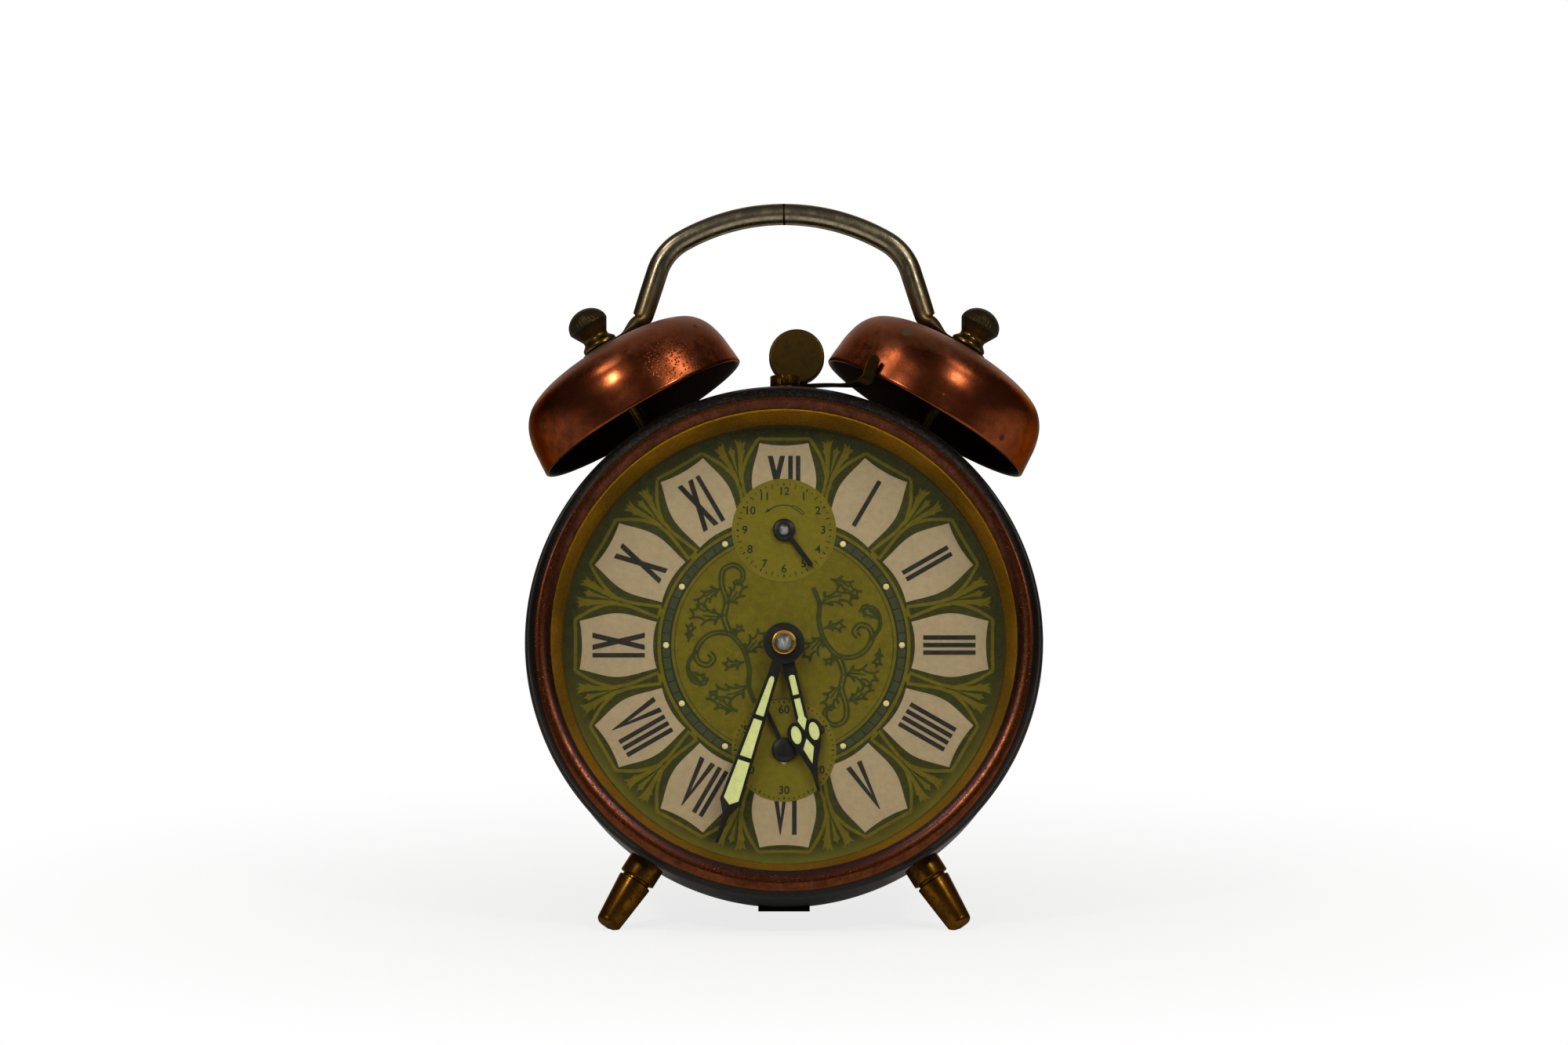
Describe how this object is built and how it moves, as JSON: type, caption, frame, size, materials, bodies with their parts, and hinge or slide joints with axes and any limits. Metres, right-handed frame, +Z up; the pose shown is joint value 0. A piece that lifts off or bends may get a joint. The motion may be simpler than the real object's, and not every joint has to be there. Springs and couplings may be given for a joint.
{
  "type": "mechanical twin-bell alarm clock",
  "caption": "Wind-up twin-bell alarm clock with a hammer between its bells, a carrying handle, Roman numerals on a green dial, small seconds and alarm dials, and turned feet.",
  "frame": {"origin": "bottom centre of the overall box, on the surface the clock stands on", "axes": "+Z up, +Y from the dial towards the back, +X to the right of someone who reads the dial"},
  "size_m": [0.1102, 0.0754, 0.1489],
  "materials": {
    "copper": "worn, pitted copper plate",
    "dark_steel": "dark polished plate",
    "dark_brass": "tarnished turned brass",
    "steel": "plain steel",
    "spring_steel": "blued steel",
    "clock_brass": "stamped brass",
    "plated_key": "nickel plate",
    "black_hand": "gloss black",
    "dial_print": "printed, green",
    "gold_reflector": "gold plate",
    "clear_glass": "clear, polished"
  },
  "bodies": {
    "case": {"drum": "dark_steel", "bezel": "copper", "crystal": "clear_glass", "reflector_ring": "gold_reflector", "dial": "dial_print", "back_cover": "dark_steel", "back_cover_screws": "steel", "left_bell": "copper", "right_bell": "copper", "left_bell_post": "dark_steel", "right_bell_post": "dark_steel", "left_bell_nut": "dark_brass", "right_bell_nut": "dark_brass", "bell_post_nuts": "steel", "handle": "dark_steel", "left_foot": "dark_brass", "right_foot": "dark_brass", "foot_nuts": "steel", "rear_rest": "dark_steel", "front_plate": "clock_brass", "back_plate": "clock_brass", "plate_pillars": "steel", "pillar_nuts": "steel", "dial_posts": "steel", "silencer_screw": "dark_brass", "hairspring": "spring_steel", "mainspring": "spring_steel", "alarm_mainspring": "spring_steel"},
    "minute": {"centre_arbor": "steel", "centre_wheel": "clock_brass", "cannon_pinion": "clock_brass", "minute_hand": "black_hand", "hand_nut": "dark_brass", "time_set_knob": "plated_key"},
    "hour": {"hour_wheel": "clock_brass", "hour_hand": "black_hand"},
    "minute_wheel_body": {"minute_wheel": "clock_brass"},
    "alarm_wheel_body": {"alarm_wheel": "clock_brass"},
    "third": {"third_wheel": "clock_brass"},
    "seconds": {"fourth_wheel": "clock_brass", "seconds_hand": "black_hand"},
    "escape": {"escape_wheel": "clock_brass"},
    "pallet": {"pallet_lever": "steel"},
    "balance": {"balance_wheel": "clock_brass"},
    "great": {"great_wheel": "clock_brass", "time_click": "steel"},
    "time_winder": {"winding_arbor": "steel", "winding_key": "plated_key"},
    "alarm_great": {"alarm_great_wheel": "clock_brass", "alarm_click": "steel"},
    "alarm_winder": {"alarm_winding_arbor": "steel", "alarm_winding_key": "plated_key"},
    "verge": {"verge_wheel": "clock_brass"},
    "alarm_set": {"alarm_arbor": "steel", "alarm_hand": "black_hand", "alarm_set_knob": "plated_key"},
    "hammer": {"hammer_arm": "steel", "hammer_head": "dark_brass"},
    "silencer": {"silencer_lever": "steel"},
    "regulator": {"regulator_lever": "steel"}
  },
  "joints": [
    {"name": "minute_turn", "type": "hinge", "parent": "case", "child": "minute", "pos_m": [0, 0.00093, 0.05499], "axis": [0, 0.9588, -0.284], "continuous": true},
    {"name": "hour_turn", "type": "hinge", "parent": "case", "child": "hour", "pos_m": [0, 0.00093, 0.05499], "axis": [0, 0.9588, -0.284], "continuous": true},
    {"name": "minute_wheel_turn", "type": "hinge", "parent": "case", "child": "minute_wheel_body", "pos_m": [-0.01451, -0.00057, 0.04993], "axis": [0, 0.9588, -0.284], "continuous": true},
    {"name": "alarm_wheel_turn", "type": "hinge", "parent": "case", "child": "alarm_wheel_body", "pos_m": [0, 0.00794, 0.07868], "axis": [0, 0.9588, -0.284], "continuous": true},
    {"name": "third_turn", "type": "hinge", "parent": "case", "child": "third", "pos_m": [0.00668, -0.0027, 0.04276], "axis": [0, 0.9588, -0.284], "continuous": true},
    {"name": "seconds_turn", "type": "hinge", "parent": "case", "child": "seconds", "pos_m": [0, -0.00549, 0.03332], "axis": [0, 0.9588, -0.284], "continuous": true},
    {"name": "escape_turn", "type": "hinge", "parent": "case", "child": "escape", "pos_m": [-0.01015, -0.00654, 0.02978], "axis": [0, 0.9588, -0.284], "continuous": true},
    {"name": "great_turn", "type": "hinge", "parent": "case", "child": "great", "pos_m": [-0.01903, 0.00345, 0.0635], "axis": [0, 0.9588, -0.284], "continuous": true},
    {"name": "pallet_swing", "type": "hinge", "parent": "case", "child": "pallet", "pos_m": [-0.01661, -0.00546, 0.03343], "axis": [0, 0.9588, -0.284], "range_deg": [-8, 8]},
    {"name": "balance_swing", "type": "hinge", "parent": "case", "child": "balance", "pos_m": [-0.02403, -0.00461, 0.03631], "axis": [0, 0.9588, -0.284], "range_deg": [-270, 270], "stiffness_Nm_per_rad": 0.000013},
    {"name": "time_winding", "type": "hinge", "parent": "case", "child": "time_winder", "pos_m": [-0.01903, 0.00345, 0.0635], "axis": [0, 0.9588, -0.284], "range_deg": [0, 2610]},
    {"name": "alarm_great_turn", "type": "hinge", "parent": "case", "child": "alarm_great", "pos_m": [0.02002, 0.00263, 0.06075], "axis": [0, 0.9588, -0.284], "continuous": true},
    {"name": "verge_turn", "type": "hinge", "parent": "case", "child": "verge", "pos_m": [0.0142, 0.00717, 0.07607], "axis": [0, 0.9588, -0.284], "continuous": true},
    {"name": "alarm_winding", "type": "hinge", "parent": "case", "child": "alarm_winder", "pos_m": [0.02002, 0.00263, 0.06075], "axis": [0, 0.9588, -0.284], "range_deg": [0, 1890]},
    {"name": "alarm_set_turn", "type": "hinge", "parent": "case", "child": "alarm_set", "pos_m": [0, 0.00794, 0.07868], "axis": [0, 0.9588, -0.284], "continuous": true},
    {"name": "hammer_swing", "type": "hinge", "parent": "case", "child": "hammer", "pos_m": [0.0095, 0.00959, 0.08424], "axis": [0, -0.9588, 0.284], "range_deg": [-0.9, 9.5]},
    {"name": "silencer_turn", "type": "hinge", "parent": "case", "child": "silencer", "pos_m": [0.0002, 0.00614, 0.11133], "axis": [0, 0.284, 0.9588], "range_deg": [-20, 0]},
    {"name": "regulator_turn", "type": "hinge", "parent": "case", "child": "regulator", "pos_m": [-0.02403, -0.00461, 0.03631], "axis": [0, 0.9588, -0.284], "range_deg": [-25, 25]}
  ],
  "couplings": [
    {"joint": "hour_turn", "follows": "minute_turn", "ratio": 0.083333},
    {"joint": "minute_wheel_turn", "follows": "minute_turn", "ratio": -0.33333},
    {"joint": "alarm_wheel_turn", "follows": "minute_turn", "ratio": -0.083333},
    {"joint": "third_turn", "follows": "minute_turn", "ratio": -8},
    {"joint": "seconds_turn", "follows": "minute_turn", "ratio": 60},
    {"joint": "escape_turn", "follows": "minute_turn", "ratio": -480},
    {"joint": "great_turn", "follows": "minute_turn", "ratio": -0.16667},
    {"joint": "verge_turn", "follows": "alarm_great_turn", "ratio": -7.5}
  ]
}
